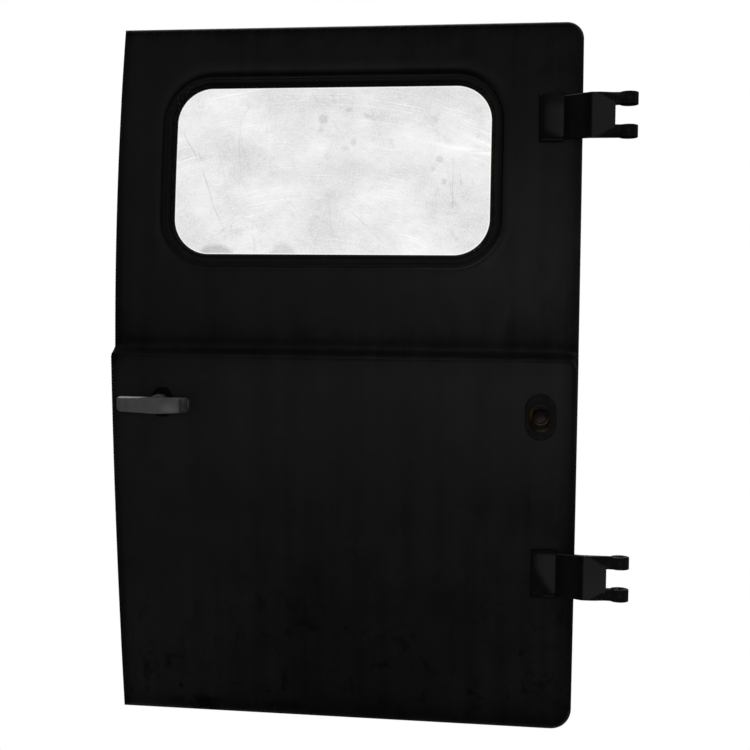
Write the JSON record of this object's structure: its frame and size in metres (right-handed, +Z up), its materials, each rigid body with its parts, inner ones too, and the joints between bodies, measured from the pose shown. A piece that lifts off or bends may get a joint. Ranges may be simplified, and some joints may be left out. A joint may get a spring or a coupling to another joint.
{
  "type": "van rear barn door leaf",
  "caption": "Right-hung rear barn door leaf of a van turned camper: curved black steel shell, rubber-set window, cranked hinge straps, turning T handle and hold-back socket.",
  "frame": {"origin": "on the hinge axis, at the underside of the lower hinge's upper knuckle", "axes": "+X from the meeting edge towards the hinges, +Y into the van, +Z up along the hinge axis"},
  "size_m": [0.919, 0.1848, 1.25],
  "materials": {
    "black_paint": "satin",
    "inner_paint": "matte",
    "hinge_paint": "satin",
    "seal_rubber": "matte",
    "glass": "satin",
    "bush_metal": "satin",
    "dark_plastic": "matte",
    "handle_metal": "matte",
    "plain_steel": "satin",
    "rusty_steel": "matte",
    "catch_metal": "matte"
  },
  "bodies": {
    "leaf": {"outer_skin": "black_paint", "top_rail": "inner_paint", "waist_rail": "inner_paint", "bottom_rail": "inner_paint", "latch_stile": "inner_paint", "hinge_stile": "inner_paint", "upper_inner_panel": "inner_paint", "lower_inner_panel": "inner_paint", "window_reveal": "inner_paint", "window_seal": "seal_rubber", "seal_filler_strip": "seal_rubber", "window_glass": "glass", "upper_hinge_strap": "hinge_paint", "lower_hinge_strap": "hinge_paint", "upper_hinge_bushes": "bush_metal", "lower_hinge_bushes": "bush_metal", "hinge_backing_plates": "inner_paint", "handle_escutcheon": "dark_plastic", "latch_case": "plain_steel", "latch_tongue": "plain_steel", "latch_faceplate": "plain_steel", "catch_plate": "dark_plastic", "catch_ring": "rusty_steel", "catch_cup": "catch_metal"},
    "handle": {"handle_grip": "handle_metal", "handle_spindle": "plain_steel", "spindle_follower": "plain_steel"}
  },
  "joints": [
    {"name": "handle_turn", "type": "hinge", "parent": "leaf", "child": "handle", "pos_m": [-0.808, -0.01403, 0.2708], "axis": [0, -0.9957, -0.0928], "range_deg": [0, 90]}
  ]
}
